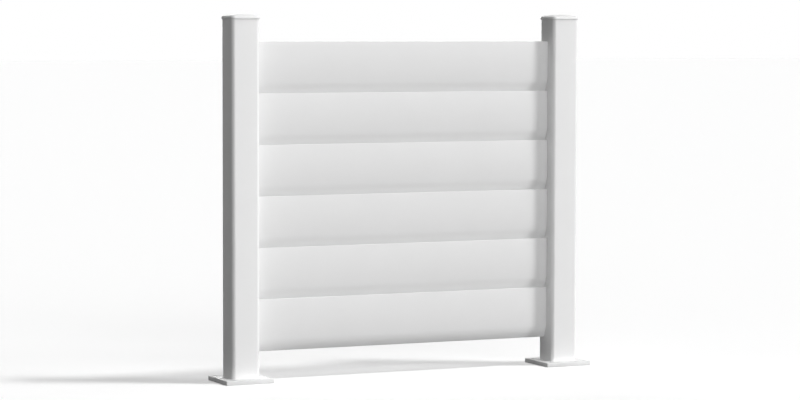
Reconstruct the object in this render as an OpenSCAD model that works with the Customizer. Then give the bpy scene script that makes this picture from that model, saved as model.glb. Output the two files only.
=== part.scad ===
// One bay of an aluminium windbreak fence: two square posts on foot plates, closed by
// post caps, with wide overlapping slats held between them by small angle brackets.
// X runs along the panel, +Y points to its back and +Z is up. The origin is the middle
// of the left foot plate's underside. Sizes are in millimetres.

/* [Bay] */
// Clear width between the two posts
clear_width = 896; // [500:1:1800]
// Height by which the post tubes stand above the top slat
post_rise = 60.5; // [20:0.5:400]
// Clear height under the lowest slat
ground_gap = 79; // [40:1:200]

/* [Posts] */
// Outside width of the square post tube
post_width = 80; // [60:1:120]
// Outside corner radius of the post tube
post_corner_r = 10; // [4:0.5:14]
// Wall thickness of the post tube
post_wall = 3; // [2:0.5:5]

/* [Foot plates] */
// Side of the square foot plate
plate_width = 138; // [120:1:220]
// Thickness of the foot plate
plate_thickness = 12; // [6:1:20]
// Edge chamfer of the foot plate's top
plate_chamfer = 0.8; // [0.4:0.1:2]
// Diameter of the four anchor holes
anchor_hole_d = 11; // [8:0.5:14]
// Distance from the middle of an anchor hole to the plate's two nearest edges
anchor_edge = 15; // [12:0.5:20]

/* [Post caps] */
// How far the cap's rim stands proud of the post, all round
cap_overhang = 2.8; // [1:0.1:6]
// Height of the rim's rounded underside, up to its widest line
rim_low_height = 3.8; // [2:0.1:8]
// Height of the rim's rounded upper side, above its widest line
rim_high_height = 6.4; // [3:0.1:12]
// How far the rim's upper side curves inwards
rim_high_depth = 5; // [2:0.5:8]
// Radius of the cap's domed crown
crown_r = 325; // [150:5:800]
// Height of the whole cap above the post tube
cap_height = 14.5; // [12:0.5:30]
// Depth of the plug that fills the post tube's mouth
plug_depth = 22; // [10:1:40]
// Wall thickness of the plug
plug_wall = 2.5; // [1.5:0.5:4]
// Depth of the hollow inside the cap, above the plug's mouth
cap_hollow = 8; // [2:0.5:9]
// Clearance between the plug and the inside of the tube, on each side
plug_clearance = 0.3; // [0.1:0.1:1]

/* [Slats] */
// Number of slats, from top to bottom
slat_count = 6; // [2:1:10]
// Height of one slat
slat_height = 144; // [100:1:220]
// Height by which a slat's top edge stands in front of the foot of the slat above it
slat_overlap = 4; // [2:0.5:20]
// Thickness of the slat's skin
slat_skin = 2.5; // [1.5:0.1:4]
// Distance from the posts' middle plane forward to a slat's top front edge
slat_front = 7; // [3:0.5:14]
// Height of the crowned upper face
crowned_height = 100; // [60:1:160]
// Angle through which the crowned face turns from top to bottom
crowned_turn = 4; // [1:0.5:8]
// Angle of the sloping foot from the vertical
foot_slope = 21.5; // [12:0.5:32]
// Radius of the bend between the crowned face and the sloping foot
bend_r = 40; // [20:1:60]
// Length of the stiffening lip behind the foot's lower edge
foot_lip = 8; // [4:0.5:15]
// Thickness of the bead along the top edge
bead_thickness = 5; // [3.5:0.5:8]
// Height of the bead along the top edge
bead_height = 6; // [4:0.5:12]
// Rounding of the slat's outer edges
edge_r = 1; // [0.4:0.1:1.2]
// Gap between a slat's end and the post beside it
slat_end_gap = 0.5; // [0.2:0.1:0.9]

/* [Slat brackets] */
// Width of each leg of the angle bracket
bracket_leg = 28; // [20:1:34]
// Height of the angle bracket
bracket_height = 60; // [40:1:90]
// Thickness of the angle bracket
bracket_thickness = 3; // [2:0.5:5]
// Rounding inside the angle bracket's corner
bracket_fillet = 3; // [1:0.5:5]
// Distance from a slat's top edge down to its brackets
bracket_drop = 22; // [12:1:60]

/* [Hidden] */
$fn = 48;
arc_steps = 10;                  // straight pieces in the short arcs of an outline
crown_steps = 16;                // straight pieces in the crowned face's long arc
post_pitch = clear_width + post_width;
anchor_offset = plate_width / 2 - anchor_edge;
slat_pitch = slat_height - slat_overlap;
slat_length = clear_width - 2 * slat_end_gap;
panel_top = ground_gap + slat_height + (slat_count - 1) * slat_pitch;
post_top = panel_top + post_rise;
post_height = post_top - plate_thickness;
crowned_r = crowned_height / (2 * sin(crowned_turn / 2));
crowned_end = crowned_turn / 2;
slat_back = slat_skin - slat_front;  // the upright back of a slat, measured from the posts' middle plane
lip_thickness = slat_skin;

sides = ["left", "right"];
slat_numbers = [for (i = [1 : slat_count]) i];

// Points on an arc about centre c, from angle a0 to angle a1 in degrees.
function arc(c, r, a0, a1, steps) =
    [for (i = [0 : steps]) let (a = a0 + (a1 - a0) * i / steps) c + r * [cos(a), sin(a)]];

// Middle of the post on a side, along X.
function post_x(side) = side == "left" ? 0 : post_pitch;

// Height of the top edge of slat i, counted from 1 at the top.
function slat_top(i) = panel_top - (i - 1) * slat_pitch;

// Square with true round corners, centred on the origin.
module rounded_square(width, r) {
    square([width - 2 * r, width], center = true);
    square([width, width - 2 * r], center = true);
    for (x = [-1, 1], y = [-1, 1])
        translate([x * (width / 2 - r), y * (width / 2 - r)]) circle(r);
}

// ---- Foot plate: square plate with four anchor holes, its top edge eased ----
module foot_plate(side) {
    half = plate_width / 2;
    color("gainsboro")
    translate([post_x(side), 0, 0])
    difference() {
        translate([-half, -half, 0]) cube([plate_width, plate_width, plate_thickness]);
        for (turn = [0 : 90 : 270])
            rotate([0, 0, turn])
            translate([half - plate_chamfer, -plate_width, plate_thickness])
            rotate([0, 45, 0])
            translate([0, 0, -plate_chamfer * 2])
            cube([plate_chamfer * 2, plate_width * 2, plate_chamfer * 4]);
        for (x = [-1, 1], y = [-1, 1])
            translate([x * anchor_offset, y * anchor_offset, -1])
            cylinder(d = anchor_hole_d, h = plate_thickness + 2);
    }
}

// ---- Post: square tube that stands on the foot plate ----
module post(side) {
    color("whitesmoke")
    translate([post_x(side), 0, plate_thickness])
    linear_extrude(post_height)
    difference() {
        rounded_square(post_width, post_corner_r);
        rounded_square(post_width - 2 * post_wall, post_corner_r - post_wall);
    }
}

// ---- Post cap: rounded rim, low domed crown and a hollow plug in the tube ----

// Half section of the rim about a corner's axis: quarter ellipses below and above its widest line.
module rim_section() {
    corner_r = post_corner_r + cap_overhang;
    low = [for (i = [0 : arc_steps]) let (a = -90 + 90 * i / arc_steps)
        [corner_r - cap_overhang * (1 - cos(a)), rim_low_height * (1 + sin(a))]];
    high = [for (i = [1 : arc_steps]) let (a = 90 * i / arc_steps)
        [corner_r - rim_high_depth * (1 - cos(a)), rim_low_height + rim_high_height * sin(a)]];
    polygon(concat([[0, 0]], low, high, [[0, rim_low_height + rim_high_height]]));
}

// Rounded body of the cap: rims at the four corners hulled with the top of a large sphere.
module cap_body() {
    corner = post_width / 2 - post_corner_r;
    crown_disc_r = corner + post_corner_r - rim_high_depth;
    hull() {
        for (x = [-1, 1], y = [-1, 1])
            translate([x * corner, y * corner, 0]) rotate_extrude($fn = 32) rim_section();
        translate([0, 0, cap_height - crown_r])
        rotate_extrude($fn = 64)
        polygon(arc([0, 0], crown_r, 90 - asin(crown_disc_r / crown_r), 90, arc_steps));
    }
}

module post_cap(side) {
    plug_width = post_width - 2 * post_wall - 2 * plug_clearance;
    plug_corner_r = post_corner_r - post_wall - plug_clearance;
    color("whitesmoke")
    translate([post_x(side), 0, post_top])
    difference() {
        union() {
            cap_body();
            translate([0, 0, -plug_depth])
            linear_extrude(plug_depth + cap_hollow / 2) rounded_square(plug_width, plug_corner_r);
        }
        translate([0, 0, -plug_depth - 1])
        linear_extrude(plug_depth + 1 + cap_hollow)
        rounded_square(plug_width - 2 * plug_wall, plug_corner_r - plug_wall);
    }
}

// ---- Slat: extrusion with a crowned upper face, a sloping foot, a top bead and a foot lip ----

// Section of a slat with +X to the back and +Y up. Its top front edge is the origin.
// The front line turns from -crowned_end to foot_slope, and the skin's back is upright
// behind the crowned face and parallel to the front behind the bend and the foot.
function slat_outline() =
    let (
        end_a = crowned_end,
        crown_c = [crowned_r * cos(end_a), -crowned_height / 2],
        bend_c = [bend_r * cos(end_a), -crowned_height + bend_r * sin(end_a)],
        bend_front = bend_c - bend_r * [cos(foot_slope), sin(foot_slope)],
        down = [sin(foot_slope), -cos(foot_slope)],
        back = [cos(foot_slope), sin(foot_slope)],
        foot_length = (slat_height + bend_front[1]) / cos(foot_slope),
        toe = bend_front + foot_length * down,
        skin_bend_r = bend_r - slat_skin,
        bend_back = bend_c - skin_bend_r * [cos(foot_slope), sin(foot_slope)],
        upright_a = acos((bend_c[0] - slat_skin) / skin_bend_r),
        lip_top = toe + (slat_skin + foot_lip) * back
    )
    concat(
        // Rounded top front edge, then the crowned face down to the bend.
        arc([edge_r, -edge_r], edge_r, 90, 180, 4),
        [for (p = arc(crown_c, crowned_r, 180 - end_a, 180 + end_a, crown_steps))
            if (p[1] < -2 * edge_r) p],
        // The bend, then straight down the foot to its toe.
        [for (i = [1 : arc_steps]) let (a = end_a + (foot_slope - end_a) * i / arc_steps)
            bend_c - bend_r * [cos(a), sin(a)]],
        [toe],
        // The stiffening lip behind the toe.
        [lip_top, lip_top - lip_thickness * down,
         toe + slat_skin * back - lip_thickness * down],
        // Back of the skin: up the foot, round the bend and up the upright back.
        [for (i = [arc_steps : -1 : 0]) let (a = upright_a + (foot_slope - upright_a) * i / arc_steps)
            bend_c - skin_bend_r * [cos(a), sin(a)]],
        // The bead along the top edge.
        [[slat_skin, -bead_height], [bead_thickness, -bead_height + (bead_thickness - slat_skin)]],
        arc([bead_thickness - edge_r, -edge_r], edge_r, 0, 90, 4)
    );

module slat(i) {
    color("white")
    translate([post_width / 2 + slat_end_gap, -slat_front, slat_top(i)])
    rotate([90, 0, 90])
    linear_extrude(slat_length) polygon(slat_outline());
}

// ---- Slat bracket: angle between the post's inner face and the slat's upright back ----
module slat_bracket(side, i) {
    inner_x = side == "left" ? post_width / 2 : post_pitch - post_width / 2;
    outline = concat(
        [[0, 0], [bracket_leg, 0], [bracket_leg, bracket_thickness]],
        arc([1, 1] * (bracket_thickness + bracket_fillet), bracket_fillet, 270, 180, arc_steps),
        [[bracket_thickness, bracket_leg], [0, bracket_leg]]
    );
    color("lightgray")
    translate([inner_x, slat_back, slat_top(i) - bracket_drop - bracket_height])
    mirror([side == "left" ? 0 : 1, 0, 0])
    linear_extrude(bracket_height) polygon(outline);
}

for (s = sides) {
    foot_plate(s);
    post(s);
    post_cap(s);
}
for (i = slat_numbers)
    slat(i);
for (s = sides, i = slat_numbers)
    slat_bracket(s, i);
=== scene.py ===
"""One bay of a white powder-coated aluminium windbreak fence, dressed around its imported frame.

Every length is in metres unless its name ends in _mm, and every angle that a field or an
argument gives is in degrees. X runs along the panel, +Y points to its back and +Z is up. The
posts, caps, foot plates, slats, brackets and screws are modelled here at full detail and stand
in for the plain nodes of the frame.
"""

import logging
import math
from dataclasses import dataclass
from enum import Enum

import bmesh
import bpy
from mathutils import Matrix, Vector


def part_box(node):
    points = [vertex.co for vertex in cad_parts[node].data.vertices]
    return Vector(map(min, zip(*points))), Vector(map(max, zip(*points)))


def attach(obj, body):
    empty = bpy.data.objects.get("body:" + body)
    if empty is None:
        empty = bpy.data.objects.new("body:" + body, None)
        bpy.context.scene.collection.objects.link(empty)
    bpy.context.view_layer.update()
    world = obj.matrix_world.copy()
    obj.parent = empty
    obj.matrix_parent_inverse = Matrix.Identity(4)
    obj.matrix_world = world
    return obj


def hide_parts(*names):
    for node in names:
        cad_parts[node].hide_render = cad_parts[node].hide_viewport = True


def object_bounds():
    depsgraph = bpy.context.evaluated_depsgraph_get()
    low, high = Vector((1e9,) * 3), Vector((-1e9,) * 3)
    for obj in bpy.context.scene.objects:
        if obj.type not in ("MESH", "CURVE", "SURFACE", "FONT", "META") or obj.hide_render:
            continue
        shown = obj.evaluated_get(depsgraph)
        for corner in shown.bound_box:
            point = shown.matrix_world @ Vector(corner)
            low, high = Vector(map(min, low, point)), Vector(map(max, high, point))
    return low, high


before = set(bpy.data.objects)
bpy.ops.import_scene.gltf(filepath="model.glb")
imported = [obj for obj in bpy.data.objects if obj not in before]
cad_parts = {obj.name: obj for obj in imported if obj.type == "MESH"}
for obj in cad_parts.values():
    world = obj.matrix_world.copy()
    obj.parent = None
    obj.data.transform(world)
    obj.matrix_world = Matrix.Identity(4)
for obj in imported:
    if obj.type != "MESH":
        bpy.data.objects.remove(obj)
CAD_BOX = [list(corner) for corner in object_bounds()]

MM = 0.001
SLAT_COUNT = sum(1 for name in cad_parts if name.startswith("slat_") and "bracket" not in name)

UP = Vector((0, 0, 1))
BACK = Vector((0, 1, 0))

# Points closer than this count as one.
SAME_POINT = 1e-6

# A face looks squarely along a direction if the cosine between the two is over this.
SQUARE_ON = 0.999

# An edge that turns by more than this stays sharp, unless its piece says otherwise.
SHARP_ANGLE = 32.0

# A point of a section, a low and a high limit, a step along X, Y and Z, and what an input holds.
Point = tuple[float, float]
Span = tuple[float, float]
Step = tuple[float, float, float]
Value = float | tuple[float, ...] | bpy.types.NodeSocket

log = logging.getLogger("windbreak")


class Side(Enum):
    """The two ends of the bay; the value is the direction from the panel to that end."""

    LEFT = -1
    RIGHT = 1

    @property
    def word(self) -> str:
        """Returns the side's name as the frame's nodes spell it."""
        return self.name.lower()


class Slot(Enum):
    """The record's material slots."""

    POST = "post_coating"
    CAP = "cap_coating"
    FOOT_PLATE = "foot_plate_coating"
    SLAT = "slat_coating"
    BRACKET = "bracket_coating"


class Drawn(Enum):
    """The way the metal under a coat was drawn; the value is that axis's number."""

    NOT = None
    ALONG_PANEL = 0
    UPRIGHT = 2


@dataclass(frozen=True)
class Box:
    """The lowest and highest corners of a node of the frame."""

    low: Vector
    high: Vector

    @classmethod
    def of(cls, node: str) -> "Box":
        """Returns the box at rest of a node of the frame."""
        low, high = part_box(node)
        return cls(Vector(low), Vector(high))

    @property
    def size(self) -> Vector:
        """Returns the box's three lengths."""
        return self.high - self.low

    @property
    def centre(self) -> Vector:
        """Returns the middle of the box."""
        return (self.low + self.high) / 2


# ---------------------------------------------------------------- mesh helpers


def shade(mesh: bpy.types.Mesh, sharp_angle: float) -> None:
    """Shades a mesh smooth, but for the edges that turn by more than an angle."""
    mesh.shade_smooth()
    mesh.set_sharp_from_angle(angle=math.radians(sharp_angle))


def finish_mesh(bm: bmesh.types.BMesh, name: str, sharp_angle: float = SHARP_ANGLE) -> bpy.types.Object:
    """Turns a bmesh into a smooth-shaded object with sharp edges kept sharp.

    Args:
        bm: The finished shape, in place. It is freed.
        name: The new object's name.
        sharp_angle: Edges that turn by more than this stay sharp.

    Returns:
        The new object, at the origin.
    """
    bmesh.ops.remove_doubles(bm, verts=bm.verts, dist=SAME_POINT)
    bmesh.ops.recalc_face_normals(bm, faces=bm.faces)
    mesh = bpy.data.meshes.new(name)
    bm.to_mesh(mesh)
    bm.free()
    shade(mesh, sharp_angle)
    piece = bpy.data.objects.new(name, mesh)
    bpy.context.scene.collection.objects.link(piece)
    return piece


def apply_modifiers(piece: bpy.types.Object) -> None:
    """Replaces a piece's mesh with the result of its modifiers.

    Args:
        piece: The object whose modifiers are applied.
    """
    graph = bpy.context.evaluated_depsgraph_get()
    graph.update()
    mesh = bpy.data.meshes.new_from_object(piece.evaluated_get(graph))
    piece.modifiers.clear()
    piece.data = mesh


def box_mesh(box: Box) -> bmesh.types.BMesh:
    """Makes a bmesh cuboid that fills a box.

    Args:
        box: The space to fill.

    Returns:
        The cuboid.
    """
    bm = bmesh.new()
    bmesh.ops.create_cube(bm, size=1.0)
    bmesh.ops.scale(bm, vec=box.size, verts=bm.verts)
    bmesh.ops.translate(bm, vec=box.centre, verts=bm.verts)
    return bm


def height_of(face: bmesh.types.BMFace) -> float:
    """Returns the height of a face's middle."""
    return face.calc_center_median().z


def upright_edges(bm: bmesh.types.BMesh) -> list[bmesh.types.BMEdge]:
    """Returns the edges of a shape that run straight up."""
    return [edge for edge in bm.edges if edge.calc_length() > SAME_POINT
            and (edge.verts[0].co - edge.verts[1].co).xy.length < SAME_POINT]


def facing(bm: bmesh.types.BMesh, direction: Vector) -> list[bmesh.types.BMFace]:
    """Returns the faces of a shape that look squarely along a unit vector."""
    bm.normal_update()
    return [face for face in bm.faces if face.normal.dot(direction) > SQUARE_ON]


def bevel(bm: bmesh.types.BMesh, edges: list[bmesh.types.BMEdge], radius: float, strips: int) -> None:
    """Rounds edges to an even radius.

    Args:
        bm: The shape.
        edges: The edges to round.
        radius: The rounding's radius.
        strips: How many strips make up the rounding.
    """
    bmesh.ops.bevel(bm, geom=edges, offset=radius, offset_type="OFFSET", segments=strips,
                    profile=0.5, affect="EDGES", clamp_overlap=True, material=-1)


def inset(bm: bmesh.types.BMesh, face: bmesh.types.BMFace, width: float, depth: float = 0.0) -> None:
    """Sets a face in from its edges.

    Args:
        bm: The shape.
        face: The face, which becomes the inner one.
        width: The even width of the border that is left around it.
        depth: How far it then moves out along its normal.
    """
    bmesh.ops.inset_region(bm, faces=[face], thickness=width, depth=depth, use_even_offset=True)


def draw_out(bm: bmesh.types.BMesh, face: bmesh.types.BMFace, step: Step) -> bmesh.types.BMFace:
    """Draws a face out of a shape, with walls behind it.

    Args:
        bm: The shape.
        face: The face to draw out.
        step: How far it moves.

    Returns:
        The face in its new place.
    """
    drawn = bmesh.ops.extrude_discrete_faces(bm, faces=[face])["faces"][0]
    bmesh.ops.translate(bm, vec=step, verts=drawn.verts)
    return drawn


def arc(centre: Point, radius: float, start: float, end: float, steps: int) -> list[Point]:
    """Samples an arc in a section drawn as depth and drop.

    Args:
        centre: The arc's centre.
        radius: The arc's radius.
        start: The first angle, counted from the depth axis towards the top.
        end: The last angle.
        steps: How many straight pieces make up the arc.

    Returns:
        The arc's points.
    """
    angles = [math.radians(start + (end - start) * i / steps) for i in range(steps + 1)]
    return [(centre[0] + radius * math.cos(a), centre[1] - radius * math.sin(a)) for a in angles]


def dress(piece: bpy.types.Object, material: bpy.types.Material, slot: Slot, *nodes: str) -> None:
    """Gives a piece its finish and tells the frame what it rides on and stands for.

    Args:
        piece: The finished piece.
        material: Its finish.
        slot: The record's material slot for the piece's finish; it is not used.
        nodes: The plain nodes that it replaces, if any.
    """
    piece.data.materials.clear()
    piece.data.materials.append(material)
    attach(piece, "root")
    if nodes:
        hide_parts(*nodes)
    log.info("%s: %d faces", piece.name, len(piece.data.polygons))


# ---------------------------------------------------------------- shader helpers


def fill(tree: bpy.types.NodeTree, node: bpy.types.Node, inputs: dict[str | int, Value]) -> None:
    """Fills a node's inputs: an output is linked to its input, and a value is set on it.

    Args:
        tree: The node's tree.
        node: The node.
        inputs: The outputs and values, by the input's name or number.
    """
    for name, value in inputs.items():
        if isinstance(value, bpy.types.NodeSocket):
            tree.links.new(value, node.inputs[name])
        else:
            node.inputs[name].default_value = value


def add_node(tree: bpy.types.NodeTree, kind: str, inputs: dict[str | int, Value]) -> bpy.types.Node:
    """Adds a node with its inputs filled.

    Args:
        tree: The tree that takes the node.
        kind: The node's type.
        inputs: What its inputs hold, as for fill.

    Returns:
        The new node.
    """
    node = tree.nodes.new(kind)
    fill(tree, node, inputs)
    return node


def object_place(tree: bpy.types.NodeTree) -> bpy.types.NodeSocket:
    """Returns the object coordinates of each point of a surface."""
    return add_node(tree, "ShaderNodeTexCoord", {}).outputs["Object"]


def noise(tree: bpy.types.NodeTree, place: bpy.types.NodeSocket, scale: float, detail: float,
          roughness: float = 0.5) -> bpy.types.NodeSocket:
    """Adds a soft noise.

    Args:
        tree: The tree that takes it.
        place: The coordinates that it follows.
        scale: How many times it rises and falls in a unit.
        detail: How many finer layers it has.
        roughness: How strong the finer layers are.

    Returns:
        The noise's value, from 0 to 1.
    """
    inputs = {"Vector": place, "Scale": scale, "Detail": detail, "Roughness": roughness}
    return add_node(tree, "ShaderNodeTexNoise", inputs).outputs["Fac"]


def spread(tree: bpy.types.NodeTree, value: bpy.types.NodeSocket, low: float, high: float,
           value_range: Span = (0.0, 1.0)) -> bpy.types.NodeSocket:
    """Spreads a value over a new range.

    Args:
        tree: The tree that takes the node.
        value: The value.
        low: The new range's low end.
        high: The new range's high end.
        value_range: The value's own range. What lies outside it is cut off.

    Returns:
        The spread value.
    """
    inputs = {"Value": value, "From Min": value_range[0], "From Max": value_range[1],
              "To Min": low, "To Max": high}
    return add_node(tree, "ShaderNodeMapRange", inputs).outputs["Result"]


def grey(tree: bpy.types.NodeTree, tone: bpy.types.NodeSocket) -> bpy.types.NodeSocket:
    """Returns the grey of a tone from 0 to 1."""
    inputs = {"Red": tone, "Green": tone, "Blue": tone}
    return add_node(tree, "ShaderNodeCombineColor", inputs).outputs["Color"]


def math_node(tree: bpy.types.NodeTree, operation: str, first: Value, second: Value) -> bpy.types.NodeSocket:
    """Adds a calculation on two values.

    Args:
        tree: The tree that takes the node.
        operation: The calculation, as the node spells it.
        first: The first value.
        second: The second value.

    Returns:
        Its result.
    """
    node = add_node(tree, "ShaderNodeMath", {0: first, 1: second})
    node.operation = operation
    return node.outputs[0]


def seen_or_mirrored(tree: bpy.types.NodeTree) -> bpy.types.NodeSocket:
    """Adds a switch that is 1 for rays that see the backdrop and 0 for those that light by it.

    Args:
        tree: The tree that takes the switch.

    Returns:
        The switch's output.
    """
    path = add_node(tree, "ShaderNodeLightPath", {}).outputs
    seen = math_node(tree, "MAXIMUM", path["Is Camera Ray"], path["Is Glossy Ray"])
    return math_node(tree, "MAXIMUM", seen, path["Is Transmission Ray"])


# ---------------------------------------------------------------- finishes


@dataclass(frozen=True)
class PowderCoat:
    """A white powder coat: satin, with a fine orange-peel skin and a trace of the metal's draw lines.

    Attributes:
        name: The material's name.
        drawn: The way the metal under the coat was drawn.
        white: How light the coat is, from 0 to 1.
        roughness: The coat's roughness.
        ior: The coat's index of refraction.
        mirror_level: How strongly the coat mirrors; 0.5 is a full gloss paint's.
        cloud_scale: How many clouds of lightness and gloss there are in a metre.
        cloud_detail: The clouds' finer layers.
        cloud_range: The part of the clouds' noise that is used.
        cloud_white: How far the clouds take the lightness up and down.
        cloud_roughness: How far the clouds take the roughness up and down.
        peel_mm: The size of the orange peel's dimples.
        peel_depth_mm: Their depth.
        peel_detail: The dimples' finer layers.
        peel_roughness: How strong those layers are.
        peel_strength: How much of the dimples' depth shows.
        lines_across: How many draw lines there are in a metre across the metal's draw.
        lines_along: How often a draw line changes in a metre along it.
        line_detail: The draw lines' finer layers.
        line_depth_mm: The draw lines' depth.
        line_strength: How much of that depth shows.
    """

    name: str
    drawn: Drawn = Drawn.NOT
    white: float = 0.88
    roughness: float = 0.5
    ior: float = 1.5
    mirror_level: float = 0.18
    cloud_scale: float = 9.0
    cloud_detail: float = 3.0
    cloud_range: Span = (0.3, 0.7)
    cloud_white: float = 0.006
    cloud_roughness: float = 0.03
    peel_mm: float = 1.3
    peel_depth_mm: float = 0.04
    peel_detail: float = 2.0
    peel_roughness: float = 0.4
    peel_strength: float = 0.7
    lines_across: float = 260.0
    lines_along: float = 0.4
    line_detail: float = 2.0
    line_depth_mm: float = 0.02
    line_strength: float = 0.25

    def material(self) -> bpy.types.Material:
        """Builds the finish as shader nodes.

        Returns:
            The new material.
        """
        mat = bpy.data.materials.new(self.name)
        mat.use_nodes = True
        tree = mat.node_tree
        place = object_place(tree)
        cloud = noise(tree, place, self.cloud_scale, self.cloud_detail)
        tone = spread(tree, cloud, self.white - self.cloud_white, self.white + self.cloud_white,
                      self.cloud_range)
        gloss = spread(tree, cloud, self.roughness - self.cloud_roughness,
                       self.roughness + self.cloud_roughness, self.cloud_range)
        fill(tree, tree.nodes["Principled BSDF"], {
            "Base Color": grey(tree, tone),
            "Roughness": gloss,
            "IOR": self.ior,
            "Specular IOR Level": self.mirror_level,
            "Normal": self._orange_peel(tree, place),
        })
        return mat

    def _orange_peel(self, tree: bpy.types.NodeTree, place: bpy.types.NodeSocket) -> bpy.types.NodeSocket:
        """Adds shallow dimples all over the skin, over the draw lines if the metal has them.

        Args:
            tree: The material's tree.
            place: The object coordinates.

        Returns:
            The dimpled normal.
        """
        dimples = noise(tree, place, 1.0 / (self.peel_mm * MM), self.peel_detail, self.peel_roughness)
        skin = add_node(tree, "ShaderNodeBump", {
            "Height": dimples,
            "Strength": self.peel_strength,
            "Distance": self.peel_depth_mm * MM,
        })
        if self.drawn is not Drawn.NOT:
            fill(tree, skin, {"Normal": self._draw_lines(tree, place)})
        return skin.outputs["Normal"]

    def _draw_lines(self, tree: bpy.types.NodeTree, place: bpy.types.NodeSocket) -> bpy.types.NodeSocket:
        """Adds faint straight lines along the way the metal was drawn.

        Args:
            tree: The material's tree.
            place: The object coordinates.

        Returns:
            The lined normal.
        """
        along = self.drawn.value
        scale = tuple(self.lines_along if axis == along else self.lines_across for axis in range(3))
        stretched = add_node(tree, "ShaderNodeMapping", {"Vector": place, "Scale": scale})
        lines = add_node(tree, "ShaderNodeBump", {
            "Height": noise(tree, stretched.outputs["Vector"], 1.0, self.line_detail),
            "Strength": self.line_strength,
            "Distance": self.line_depth_mm * MM,
        })
        return lines.outputs["Normal"]


@dataclass(frozen=True)
class StainlessSteel:
    """Bright stainless steel with fine turning marks, as on a screw's head.

    Attributes:
        name: The material's name.
        colour: The metal's colour.
        roughness: The metal's roughness.
        marks_scale: How many turning marks there are in a metre.
        marks_detail: The marks' finer layers.
        smoother: How far the marks take the roughness down.
        rougher: How far they take it up.
    """

    name: str = "stainless_screw_steel"
    colour: tuple[float, ...] = (0.66, 0.66, 0.67, 1.0)
    roughness: float = 0.28
    marks_scale: float = 2500.0
    marks_detail: float = 2.0
    smoother: float = 0.08
    rougher: float = 0.12

    def material(self) -> bpy.types.Material:
        """Builds the finish as shader nodes.

        Returns:
            The new material.
        """
        mat = bpy.data.materials.new(self.name)
        mat.use_nodes = True
        tree = mat.node_tree
        marks = noise(tree, object_place(tree), self.marks_scale, self.marks_detail)
        fill(tree, tree.nodes["Principled BSDF"], {
            "Base Color": self.colour,
            "Metallic": 1.0,
            "Roughness": spread(tree, marks, self.roughness - self.smoother, self.roughness + self.rougher),
        })
        return mat


# ---------------------------------------------------------------- sub-assemblies


@dataclass
class FootPlate:
    """The square plate under a post, with four anchor holes.

    Attributes:
        side: The end of the bay that the plate is at.
        hole_d: The diameter of an anchor hole.
        hole_offset: How far a hole is from each of the plate's two middle lines.
        hole_sides: How many flat sides make up a hole.
        edge_r: The radius of the eased edges.
        edge_strips: How many strips make up an eased edge.
        eased_over: Edges that turn by more than this are eased.
    """

    side: Side
    hole_d: float = 11 * MM
    hole_offset: float = 54 * MM
    hole_sides: int = 40
    edge_r: float = 0.7 * MM
    edge_strips: int = 3
    eased_over: float = 40.0

    def build(self, finish: bpy.types.Material) -> bpy.types.Object:
        """Builds the plate.

        Args:
            finish: The plate's material.

        Returns:
            The finished piece.
        """
        node = f"foot_plate_{self.side.word}"
        box = Box.of(node)
        plate = finish_mesh(box_mesh(box), f"{node}_coated")
        drills = finish_mesh(self._drills(box), f"{node}_drills")
        cut = plate.modifiers.new("anchor_holes", "BOOLEAN")
        cut.operation = "DIFFERENCE"
        cut.solver = "EXACT"
        cut.object = drills
        ease = plate.modifiers.new("eased_edges", "BEVEL")
        ease.width = self.edge_r
        ease.segments = self.edge_strips
        ease.limit_method = "ANGLE"
        ease.angle_limit = math.radians(self.eased_over)
        apply_modifiers(plate)
        bpy.data.objects.remove(drills)
        shade(plate.data, SHARP_ANGLE)
        dress(plate, finish, Slot.FOOT_PLATE, node)
        return plate

    def _drills(self, box: Box) -> bmesh.types.BMesh:
        """Builds the four round bars that cut the anchor holes.

        Args:
            box: The plate's box.

        Returns:
            The bars, twice as long as the plate is thick.
        """
        bm = bmesh.new()
        for across in (-self.hole_offset, self.hole_offset):
            for along in (-self.hole_offset, self.hole_offset):
                spot = Matrix.Translation(box.centre + Vector((across, along, 0)))
                bmesh.ops.create_cone(bm, cap_ends=True, segments=self.hole_sides, depth=box.size.z * 2,
                                      radius1=self.hole_d / 2, radius2=self.hole_d / 2, matrix=spot)
        return bm


@dataclass
class Post:
    """A square aluminium tube with round corners, open at both ends.

    Attributes:
        side: The end of the bay that the post is at.
        corner_r: The corners' radius.
        corner_strips: How many strips make up a corner.
        wall: The tube's wall.
    """

    side: Side
    corner_r: float = 10 * MM
    corner_strips: int = 14
    wall: float = 3 * MM

    def build(self, finish: bpy.types.Material) -> bpy.types.Object:
        """Builds the tube.

        Args:
            finish: The post's material.

        Returns:
            The finished piece.
        """
        node = f"post_{self.side.word}"
        bm = box_mesh(Box.of(node))
        bevel(bm, upright_edges(bm), self.corner_r, self.corner_strips)
        ends = facing(bm, UP) + facing(bm, -UP)
        for end in ends:
            inset(bm, end, self.wall)
        rims = [edge for end in ends for edge in end.edges]
        bmesh.ops.delete(bm, geom=ends, context="FACES_ONLY")
        bmesh.ops.bridge_loops(bm, edges=rims)
        post = finish_mesh(bm, f"{node}_coated")
        dress(post, finish, Slot.POST, node)
        return post


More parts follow.
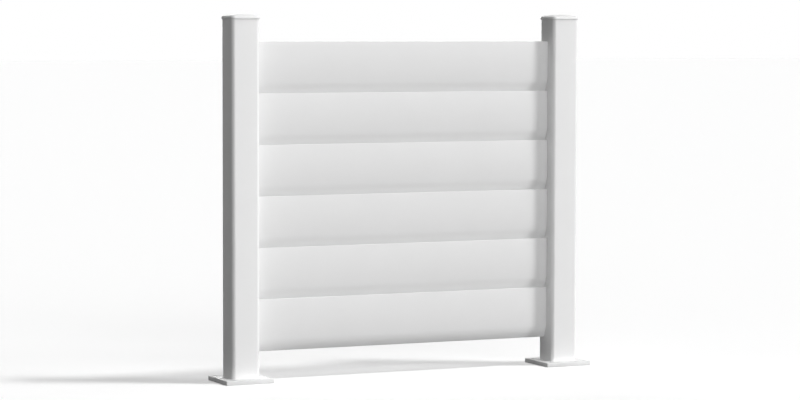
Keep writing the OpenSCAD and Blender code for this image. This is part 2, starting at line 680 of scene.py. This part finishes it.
@dataclass
class PostCap:
    """The cap on a post: a round rim, a low domed crown and a hollow plug in the tube.

    Attributes:
        side: The end of the bay that the cap is at.
        overhang: How far the rim stands out over the post.
        rim_low: The height of the rim's widest line over the post's end.
        rim_high: The height of the rim's rounding above its widest line.
        rim_high_depth: How far that rounding comes in.
        rim_strips: How many strips make up the rim's upper and lower rounding, each.
        crown_r: The radius of the domed crown.
        crown_rings: How many rings make up the crown.
        corner_r: The corners' radius at the widest line.
        corner_strips: How many strips make up a corner.
        first_slice: The thickness of the slice at the widest line, which the cap grows from.
        plug_inset: How far the plug is set in from the post's faces.
        plug_wall: The plug's wall.
        hollow: How far the plug's hollow goes up above the post's end.
        sharp_angle: Edges of the cap that turn by more than this stay sharp.
    """

    side: Side
    overhang: float = 2.8 * MM
    rim_low: float = 3.8 * MM
    rim_high: float = 6.4 * MM
    rim_high_depth: float = 5 * MM
    rim_strips: int = 10
    crown_r: float = 325 * MM
    crown_rings: int = 12
    corner_r: float = 12.8 * MM
    corner_strips: int = 14
    first_slice: float = 0.02 * MM
    plug_inset: float = 3.3 * MM
    plug_wall: float = 2.5 * MM
    hollow: float = 8 * MM
    sharp_angle: float = 38.0

    def build(self, finish: bpy.types.Material) -> bpy.types.Object:
        """Builds the cap from its widest line, upwards and then downwards.

        Args:
            finish: The cap's material.

        Returns:
            The finished piece.
        """
        node = f"post_cap_{self.side.word}"
        box = Box.of(node)
        seat = Box.of(f"post_{self.side.word}").high.z
        widest = seat + self.rim_low
        bm = box_mesh(Box(Vector((*box.low.xy, widest - self.first_slice)),
                          Vector((*box.high.xy, widest))))
        bevel(bm, upright_edges(bm), self.corner_r, self.corner_strips)
        self._raise_crown(bm, box)
        self._sink_plug(bm, box, seat)
        cap = finish_mesh(bm, f"{node}_coated", self.sharp_angle)
        dress(cap, finish, Slot.CAP, node)
        return cap

    def _quarter(self, depth: float, height: float) -> list[Point]:
        """Divides a quarter ellipse into strips, from its widest line.

        Args:
            depth: How far the quarter comes in.
            height: How far it runs.

        Returns:
            Each strip's step inwards and step along.
        """
        angles = [math.pi / 2 * i / self.rim_strips for i in range(self.rim_strips + 1)]
        points = [(depth * (1 - math.cos(a)), height * math.sin(a)) for a in angles]
        return [(after[0] - before[0], after[1] - before[1]) for before, after in zip(points, points[1:])]

    def _raise_crown(self, bm: bmesh.types.BMesh, box: Box) -> None:
        """Rounds the rim's upper side and lays the domed crown over it.

        Args:
            bm: The cap so far, a thin slice at its widest line.
            box: The whole cap's box.
        """
        for step_in, step_up in self._quarter(self.rim_high_depth, self.rim_high):
            inset(bm, max(bm.faces, key=height_of), step_in, step_up)
        crown = max(bm.faces, key=height_of)
        edge_z = max(vert.co.z for vert in bm.verts)
        for ring in range(self.crown_rings, 1, -1):
            crown = draw_out(bm, crown, (0, 0, 0))
            shrink = (ring - 1) / ring
            bmesh.ops.scale(bm, vec=(shrink, shrink, 1.0), verts=crown.verts,
                            space=Matrix.Translation(-box.centre))
        bmesh.ops.poke(bm, faces=[crown])
        dome_centre = box.high.z - self.crown_r
        for vert in bm.verts:
            if vert.co.z > edge_z - SAME_POINT:
                reach = (vert.co.xy - box.centre.xy).length
                vert.co.z = max(edge_z, dome_centre + math.sqrt(self.crown_r ** 2 - reach ** 2))

    def _sink_plug(self, bm: bmesh.types.BMesh, box: Box, seat: float) -> None:
        """Rounds the rim's underside and draws the hollow plug down into the tube.

        Args:
            bm: The cap so far.
            box: The whole cap's box.
            seat: The height of the post's top end.
        """
        for step_in, step_down in self._quarter(self.overhang, self.rim_low):
            inset(bm, min(bm.faces, key=height_of), step_in, step_down)
        under = min(bm.faces, key=height_of)
        inset(bm, under, self.plug_inset)
        under = draw_out(bm, under, (0, 0, box.low.z - seat))
        inset(bm, under, self.plug_wall)
        draw_out(bm, under, (0, 0, seat + self.hollow - box.low.z))


@dataclass
class Slat:
    """A wide extruded slat: an upright face, a bend, a sloping foot, a top bead and a foot lip.

    Its section is drawn from the top front edge, with depths towards the panel's back and
    drops below the top edge.

    Attributes:
        number: The slat's number, from 1 at the top.
        skin: The thickness of its metal.
        crown_height: The height of the upright face, which is slightly crowned.
        crown_turn: How much the upright face turns from its top to its end.
        foot_slope: The slope of the foot from upright.
        bend_r: The radius of the bend between the two.
        foot_lip: How far the lip at the foot reaches back.
        bead_depth: The depth of the bead along the top edge.
        bead_height: Its height.
        edge_r: The radius of the top edge's corners.
        toe_r: The radius of the toe's corner and of the lip's.
        edge_steps: How many straight pieces make up a corner of the top edge.
        crown_steps: The same for the crowned face.
        bend_steps: The same for the bend.
        soft_bend: The drop at which the light has rolled halfway to the foot's slope.
        soft_foot: The drop at which it has rolled all the way.
        toe_turn: How much further it rolls down to the toe.
        sharp_angle: Edges of the slat that turn by more than this stay sharp.
    """

    number: int
    skin: float = 2.5 * MM
    crown_height: float = 100 * MM
    crown_turn: float = 4.0
    foot_slope: float = 21.5
    bend_r: float = 40 * MM
    foot_lip: float = 8 * MM
    bead_depth: float = 5 * MM
    bead_height: float = 6 * MM
    edge_r: float = 1.0 * MM
    toe_r: float = 0.7 * MM
    edge_steps: int = 4
    crown_steps: int = 12
    bend_steps: int = 8
    soft_bend: float = 108.5 * MM
    soft_foot: float = 127 * MM
    toe_turn: float = 24.0
    sharp_angle: float = 25.0

    def build(self, finish: bpy.types.Material) -> bpy.types.Object:
        """Builds the slat.

        Args:
            finish: The slat's material.

        Returns:
            The finished piece.
        """
        node = f"slat_{self.number}"
        box = Box.of(node)
        # The middle of the crowned face stands this far in front of its top edge.
        crowning = self.crown_height / 2 * math.tan(math.radians(self.crown_turn / 4))
        front = box.low.y + crowning
        bm = bmesh.new()
        section = [bm.verts.new((box.low.x, front + depth, box.high.z - drop))
                   for depth, drop in self._outline(box.size.z)]
        face = bm.faces.new(section)
        grown = bmesh.ops.extrude_face_region(bm, geom=[face])["geom"]
        far_end = [part for part in grown if isinstance(part, bmesh.types.BMVert)]
        bmesh.ops.translate(bm, vec=(box.size.x, 0, 0), verts=far_end)
        slat = finish_mesh(bm, f"{node}_coated", self.sharp_angle)
        self._soften(slat.data, box)
        dress(slat, finish, Slot.SLAT, node)
        return slat

    def _outline(self, height: float) -> list[Point]:
        """Draws the section.

        Args:
            height: The slat's height.

        Returns:
            The section's corners in order, as depth and drop from the top front edge.
        """
        half_turn = math.radians(self.crown_turn / 2)
        crown_r = self.crown_height / (2 * math.sin(half_turn))
        crown_c = (crown_r * math.cos(half_turn), self.crown_height / 2)
        bend_c = (self.bend_r * math.cos(half_turn),
                  self.crown_height - self.bend_r * math.sin(half_turn))
        bend_start, bend_end = 180 + self.crown_turn / 2, 180 + self.foot_slope
        inner_r = self.bend_r - self.skin
        upright = 180 + math.degrees(math.acos((bend_c[0] - self.skin) / inner_r))
        crown = arc(crown_c, crown_r, 180 - self.crown_turn / 2, bend_start, self.crown_steps)
        outline = arc((self.edge_r, self.edge_r), self.edge_r, 90, 180, self.edge_steps)
        outline += [point for point in crown if point[1] > 2 * self.edge_r]
        outline += arc(bend_c, self.bend_r, bend_start, bend_end, self.bend_steps)[1:]
        outline += self._toe_and_lip(outline[-1], height)
        outline += arc(bend_c, inner_r, bend_end, upright, self.bend_steps)
        outline += [(self.skin, self.bead_height),
                    (self.bead_depth, self.bead_height - (self.bead_depth - self.skin))]
        outline += arc((self.bead_depth - self.edge_r, self.edge_r), self.edge_r, 0, 90, self.edge_steps)
        return outline

    def _toe_and_lip(self, foot_start: Point, height: float) -> list[Point]:
        """Draws the foot's end: the toe in front, the lip behind it and the corner inside.

        Args:
            foot_start: Where the sloping foot leaves the bend.
            height: The slat's height.

        Returns:
            The corners of this stretch of the section.
        """
        slope = math.radians(self.foot_slope)
        down = Vector((math.sin(slope), math.cos(slope)))
        back = Vector((math.cos(slope), -math.sin(slope)))
        toe = Vector(foot_start)
        toe += down * (height - toe.y) / math.cos(slope)
        lip = toe + back * (self.skin + self.foot_lip)
        # The middle of a quarter round lies 0.29 of its radius in from the corner's two sides.
        middle_in = self.toe_r * 0.29
        corners = [
            toe - down * self.toe_r, toe + (back - down) * middle_in, toe + back * self.toe_r,
            lip - back * self.toe_r, lip - (back + down) * middle_in, lip - down * self.toe_r,
            lip - down * self.skin, toe + back * self.skin - down * self.skin,
        ]
        return [tuple(corner) for corner in corners]

    def _soften(self, mesh: bpy.types.Mesh, box: Box) -> None:
        """Lets the light roll slowly down the front of the slat, as on a rolled face.

        The front's normals turn evenly from the top edge to the bend, then faster to the foot's
        slope, and on to the toe.

        Args:
            mesh: The slat's mesh.
            box: The slat's box.
        """
        # The front is every face whose normal points well forwards and hardly sideways.
        forwards, sideways = -0.85, 0.1
        normals = [Vector(corner.vector) for corner in mesh.corner_normals]
        for polygon in mesh.polygons:
            if polygon.normal.y > forwards or abs(polygon.normal.x) > sideways:
                continue
            for corner in polygon.loop_indices:
                spot = mesh.vertices[mesh.loops[corner].vertex_index].co
                turn = math.radians(self._turn_at(box.high.z - spot.z, box.size.z))
                normals[corner] = Vector((0, -math.cos(turn), -math.sin(turn)))
        mesh.normals_split_custom_set(normals)

    def _turn_at(self, drop: float, height: float) -> float:
        """Says how far the face has turned downwards.

        Args:
            drop: A height below the top edge.
            height: The slat's whole height.

        Returns:
            The turn in degrees.
        """
        half = self.foot_slope / 2
        if drop < self.soft_bend:
            return half * drop / self.soft_bend
        if drop < self.soft_foot:
            return half + half * (drop - self.soft_bend) / (self.soft_foot - self.soft_bend)
        return self.foot_slope + self.toe_turn * (drop - self.soft_foot) / (height - self.soft_foot)


@dataclass
class SlatBracket:
    """The small angle that joins a slat's back to a post, with its four screws.

    Attributes:
        side: The end of the bay that the bracket is at.
        number: The number of its slat.
        thickness: The angle's thickness.
        tip_r: The radius of the rounded tips of both legs.
        tip_strips: How many strips make up a tip's rounding.
        fillet: The radius of the fillet inside the angle.
        fillet_strips: How many strips make up the fillet.
        edge_r: The radius of the eased edges.
        edge_strips: How many strips make up an eased edge.
        eased_over: Edges that turn by more than this are eased, and stay sharp.
        screw_spread: How far apart the two screws of a leg are.
        screw_reach: How far a screw is from the angle's outer corner.
        head_r: The radius of a screw's head.
        head_h: The height of a screw's head.
        head_sides: How many flat sides make up a head.
        head_round: The radius of the head's rounding.
        head_strips: How many strips make up that rounding.
        head_sharp_angle: Edges of a screw that turn by more than this stay sharp.
        socket_width: The width across the flats of the hexagon socket.
        socket_depth: Its depth.
    """

    side: Side
    number: int
    thickness: float = 3 * MM
    tip_r: float = 4 * MM
    tip_strips: int = 5
    fillet: float = 3 * MM
    fillet_strips: int = 6
    edge_r: float = 0.35 * MM
    edge_strips: int = 2
    eased_over: float = 40.0
    screw_spread: float = 34 * MM
    screw_reach: float = 17 * MM
    head_r: float = 4.6 * MM
    head_h: float = 2.8 * MM
    head_sides: int = 24
    head_round: float = 1.736 * MM
    head_strips: int = 4
    head_sharp_angle: float = 35.0
    socket_width: float = 3.0 * MM
    socket_depth: float = 1.5 * MM

    def build(self, finish: bpy.types.Material, steel: bpy.types.Material) -> list[bpy.types.Object]:
        """Builds the bracket and its screws.

        Args:
            finish: The bracket's material.
            steel: The screws' material.

        Returns:
            The bracket and its set of screws.
        """
        node = f"slat_bracket_{self.side.word}_{self.number}"
        box = Box.of(node)
        wall_x = box.low.x if self.side is Side.LEFT else box.high.x
        inward = -self.side.value
        bm = box_mesh(Box(box.low, Vector((box.high.x, box.low.y + self.thickness, box.high.z))))
        # Part the leg on the slat at the corner, then draw the second leg out of the parted strip.
        bmesh.ops.bisect_plane(bm, geom=bm.verts[:] + bm.edges[:] + bm.faces[:],
                               plane_co=(wall_x + inward * self.thickness, 0, 0), plane_no=(1, 0, 0))
        strip = next(face for face in facing(bm, BACK)
                     if abs(face.calc_center_median().x - wall_x) < self.thickness)
        draw_out(bm, strip, (0, box.size.y - self.thickness, 0))
        self._round(bm, box, wall_x, inward)
        bracket = finish_mesh(bm, f"{node}_coated", self.eased_over)
        dress(bracket, finish, Slot.BRACKET, node)
        screws = self._screws(box, wall_x, inward, steel)
        return [bracket, screws]

    def _round(self, bm: bmesh.types.BMesh, box: Box, wall_x: float, inward: int) -> None:
        """Rounds the angle's tips, fills its inside corner and eases all its edges.

        Args:
            bm: The plain angle.
            box: The angle's box.
            wall_x: The post's face.
            inward: The direction along X from the post to the panel.
        """
        tip_x = wall_x + inward * box.size.x
        tips = [edge for edge in bm.edges if self._is_tip(edge, tip_x, box.high.y)]
        bevel(bm, tips, self.tip_r, self.tip_strips)
        corner = Vector((wall_x + inward * self.thickness, box.low.y + self.thickness))
        inside = [edge for edge in upright_edges(bm) if (edge.verts[0].co.xy - corner).length < SAME_POINT]
        bevel(bm, inside, self.fillet, self.fillet_strips)
        bm.normal_update()
        turns_over = math.radians(self.eased_over)
        rest = [edge for edge in bm.edges
                if len(edge.link_faces) == 2 and edge.calc_face_angle(0.0) > turns_over]
        bevel(bm, rest, self.edge_r, self.edge_strips)

    @staticmethod
    def _is_tip(edge: bmesh.types.BMEdge, tip_x: float, tip_y: float) -> bool:
        """Says if an edge crosses a leg's thickness at its tip.

        Args:
            edge: An edge of the angle.
            tip_x: The X of one leg's end.
            tip_y: The Y of the other leg's end.

        Returns:
            Whether it does.
        """
        a, b = edge.verts[0].co, edge.verts[1].co
        level = abs(a.z - b.z) < SAME_POINT
        along_y = abs(a.x - b.x) < SAME_POINT and abs(a.x - tip_x) < SAME_POINT
        along_x = abs(a.y - b.y) < SAME_POINT and abs(a.y - tip_y) < SAME_POINT
        return level and (along_y or along_x)

    def _screws(self, box: Box, wall_x: float, inward: int, steel: bpy.types.Material) -> bpy.types.Object:
        """Builds two screws in each leg.

        Args:
            box: The bracket's box.
            wall_x: The post's face.
            inward: The direction along X from the post to the panel.
            steel: The screws' material.

        Returns:
            The four screws as one piece.
        """
        bm = bmesh.new()
        for rise in (-self.screw_spread / 2, self.screw_spread / 2):
            height = box.centre.z + rise
            on_slat = Vector((wall_x + inward * self.screw_reach, box.low.y + self.thickness, height))
            on_post = Vector((wall_x + inward * self.thickness, box.low.y + self.screw_reach, height))
            self._add_screw(bm, on_slat, BACK)
            self._add_screw(bm, on_post, Vector((inward, 0, 0)))
        screws = finish_mesh(bm, f"bracket_screws_{self.side.word}_{self.number}", self.head_sharp_angle)
        dress(screws, steel, Slot.BRACKET)
        return screws

    def _add_screw(self, bm: bmesh.types.BMesh, seat: Vector, out: Vector) -> None:
        """Adds one round-headed screw with a hexagon socket.

        Args:
            bm: The shape that takes the screw.
            seat: The middle of the head's underside.
            out: The direction that the head points to.
        """
        head = bmesh.new()
        bmesh.ops.create_cone(head, cap_ends=True, segments=self.head_sides, depth=self.head_h,
                              radius1=self.head_r, radius2=self.head_r,
                              matrix=Matrix.Translation((0, 0, self.head_h / 2)))
        bevel(head, list(max(head.faces, key=height_of).edges), self.head_round, self.head_strips)
        socket = draw_out(head, max(head.faces, key=height_of), (0, 0, 0))
        sixth = math.radians(60)
        for vert in socket.verts:
            angle = math.atan2(vert.co.y, vert.co.x) % sixth - sixth / 2
            reach = self.socket_width / 2 / math.cos(angle)
            vert.co.xy = vert.co.xy.normalized() * reach
        draw_out(head, socket, (0, 0, -self.socket_depth))
        turn = UP.rotation_difference(out).to_matrix().to_4x4()
        bmesh.ops.transform(head, matrix=Matrix.Translation(seat) @ turn, verts=head.verts)
        scratch = bpy.data.meshes.new("screw")
        head.to_mesh(scratch)
        head.free()
        bm.from_mesh(scratch)
        bpy.data.meshes.remove(scratch)


# ---------------------------------------------------------------- studio


@dataclass(frozen=True)
class SunLamp:
    """A distant lamp.

    Attributes:
        name: The lamp's name.
        azimuth: How far to the right of straight in front of the panel it is.
        elevation: How far above the floor it is.
        softness: The lamp's width as seen from the fence.
        strength: Its strength.
    """

    name: str
    azimuth: float
    elevation: float
    softness: float
    strength: float

    def build(self) -> bpy.types.Object:
        """Adds the lamp to the scene.

        Returns:
            The lamp's object.
        """
        data = bpy.data.lights.new(self.name, "SUN")
        data.energy = self.strength
        data.angle = math.radians(self.softness)
        lamp = bpy.data.objects.new(self.name, data)
        az, el = math.radians(self.azimuth), math.radians(self.elevation)
        toward = Vector((math.sin(az) * math.cos(el), -math.cos(az) * math.cos(el), math.sin(el)))
        lamp.rotation_euler = toward.to_track_quat("Z", "Y").to_euler()
        bpy.context.scene.collection.objects.link(lamp)
        return lamp


@dataclass(frozen=True)
class Floor:
    """The wide pale floor, which is seen lighter than it lights the fence.

    Attributes:
        reach: How far it goes each way.
        white: How light its paint is seen.
        lift: How much white is laid over its paint as it is seen.
        bounce: How light its paint is for the light that it throws back at the fence.
    """

    reach: float = 60.0
    white: float = 0.97
    lift: float = 0.31
    bounce: float = 0.08

    def build(self) -> None:
        """Lays the floor under the foot plates."""
        low, high = CAD_BOX
        bm = bmesh.new()
        bmesh.ops.create_grid(bm, x_segments=1, y_segments=1, size=self.reach)
        bmesh.ops.translate(bm, vec=((low[0] + high[0]) / 2, 0, low[2]), verts=bm.verts)
        floor = finish_mesh(bm, "studio_floor")
        floor.data.materials.append(self._paint())

    def _paint(self) -> bpy.types.Material:
        """Builds the floor's paint as shader nodes.

        Returns:
            The new material.
        """
        mat = bpy.data.materials.new("studio_floor_paint")
        mat.use_nodes = True
        tree = mat.node_tree
        tree.nodes.remove(tree.nodes["Principled BSDF"])
        seen = seen_or_mirrored(tree)
        colour = grey(tree, spread(tree, seen, self.bounce, self.white))
        paint = add_node(tree, "ShaderNodeBsdfDiffuse", {"Color": colour})
        lifted = math_node(tree, "MULTIPLY", seen, self.lift)
        glow = add_node(tree, "ShaderNodeEmission", {"Strength": lifted})
        both = add_node(tree, "ShaderNodeAddShader", {0: paint.outputs["BSDF"], 1: glow.outputs["Emission"]})
        fill(tree, tree.nodes["Material Output"], {"Surface": both.outputs["Shader"]})
        return mat


@dataclass(frozen=True)
class View:
    """The camera.

    Attributes:
        lens_mm: Its focal length.
        sensor_mm: The width of its sensor.
        azimuth: How far to the left of straight in front of the panel it stands.
        pitch: How far it looks down.
        roll: How far it leans.
        distance: How far it is from the point that it looks at.
        aim_left: How far that point is to the left of the bay's middle.
        aim_height: How far that point is above the floor.
        far: How far it sees.
    """

    lens_mm: float = 125.25
    sensor_mm: float = 36.0
    azimuth: float = 25.142
    pitch: float = 3.640
    roll: float = 0.100
    distance: float = 7.741
    aim_left: float = 0.0117
    aim_height: float = 0.483
    far: float = 200.0

    def build(self) -> None:
        """Sets the camera up on its view of the fence."""
        low, high = CAD_BOX
        middle = (low[0] + high[0]) / 2
        aim = Vector((middle - self.aim_left, 0, low[2] + self.aim_height))
        az, pitch = math.radians(self.azimuth), math.radians(self.pitch)
        forward = Vector((math.sin(az) * math.cos(pitch), math.cos(az) * math.cos(pitch), -math.sin(pitch)))
        data = bpy.data.cameras.new("view")
        data.lens = self.lens_mm
        data.sensor_width = self.sensor_mm
        data.clip_end = self.far
        camera = bpy.data.objects.new("view", data)
        turn = (-forward).to_track_quat("Z", "Y").to_matrix().to_4x4()
        roll = Matrix.Rotation(math.radians(self.roll), 4, "Z")
        camera.matrix_world = Matrix.Translation(aim - forward * self.distance) @ turn @ roll
        bpy.context.scene.collection.objects.link(camera)
        bpy.context.scene.camera = camera


@dataclass(frozen=True)
class Studio:
    """The white surround, the pale floor, the lamps and the camera."""

    floor: Floor = Floor()
    view: View = View()
    lamps: tuple[SunLamp, ...] = (
        SunLamp("key", azimuth=62, elevation=58.5, softness=8.5, strength=1.4),
        SunLamp("front_fill", azimuth=-3, elevation=3, softness=70, strength=2.22),
        SunLamp("side_fill", azimuth=55, elevation=5, softness=15, strength=1.7),
        SunLamp("rear_upper_fill", azimuth=165, elevation=45, softness=50, strength=0.35),
        SunLamp("rear_fill", azimuth=172, elevation=6, softness=30, strength=1.4),
        SunLamp("left_fill", azimuth=-50, elevation=10, softness=40, strength=0.3),
    )

    def build(self) -> None:
        """Adds the whole studio."""
        self._surround()
        self.floor.build()
        for lamp in self.lamps:
            lamp.build()
        self.view.build()

    def _surround(self) -> None:
        """Makes a surround that is seen white and casts no light of its own."""
        world = bpy.data.worlds.new("surround")
        bpy.context.scene.world = world
        world.use_nodes = True
        tree = world.node_tree
        fill(tree, tree.nodes["Background"], {"Color": (1, 1, 1, 1), "Strength": seen_or_mirrored(tree)})


@dataclass(frozen=True)
class FenceBay:
    """The whole bay: two posts with their plates and caps, the slats and their brackets."""

    post_coat: PowderCoat = PowderCoat("post_powder_coat", Drawn.UPRIGHT)
    slat_coat: PowderCoat = PowderCoat("slat_powder_coat", Drawn.ALONG_PANEL)
    plate_coat: PowderCoat = PowderCoat("plate_powder_coat")
    cap_coat: PowderCoat = PowderCoat("cap_powder_coat")
    bracket_coat: PowderCoat = PowderCoat("bracket_powder_coat", Drawn.UPRIGHT)
    screw_steel: StainlessSteel = StainlessSteel()

    def build(self) -> None:
        """Builds and dresses every piece."""
        post, slat = self.post_coat.material(), self.slat_coat.material()
        plate, cap = self.plate_coat.material(), self.cap_coat.material()
        bracket, steel = self.bracket_coat.material(), self.screw_steel.material()
        for side in Side:
            FootPlate(side).build(plate)
            Post(side).build(post)
            PostCap(side).build(cap)
        for number in range(1, SLAT_COUNT + 1):
            Slat(number).build(slat)
            for side in Side:
                SlatBracket(side, number).build(bracket, steel)


def main() -> None:
    """Builds the studio and the fence."""
    logging.basicConfig(level=logging.INFO, format="%(message)s")
    bpy.context.scene.view_settings.view_transform = "Standard"
    Studio().build()
    FenceBay().build()


if __name__ == "__main__":
    main()
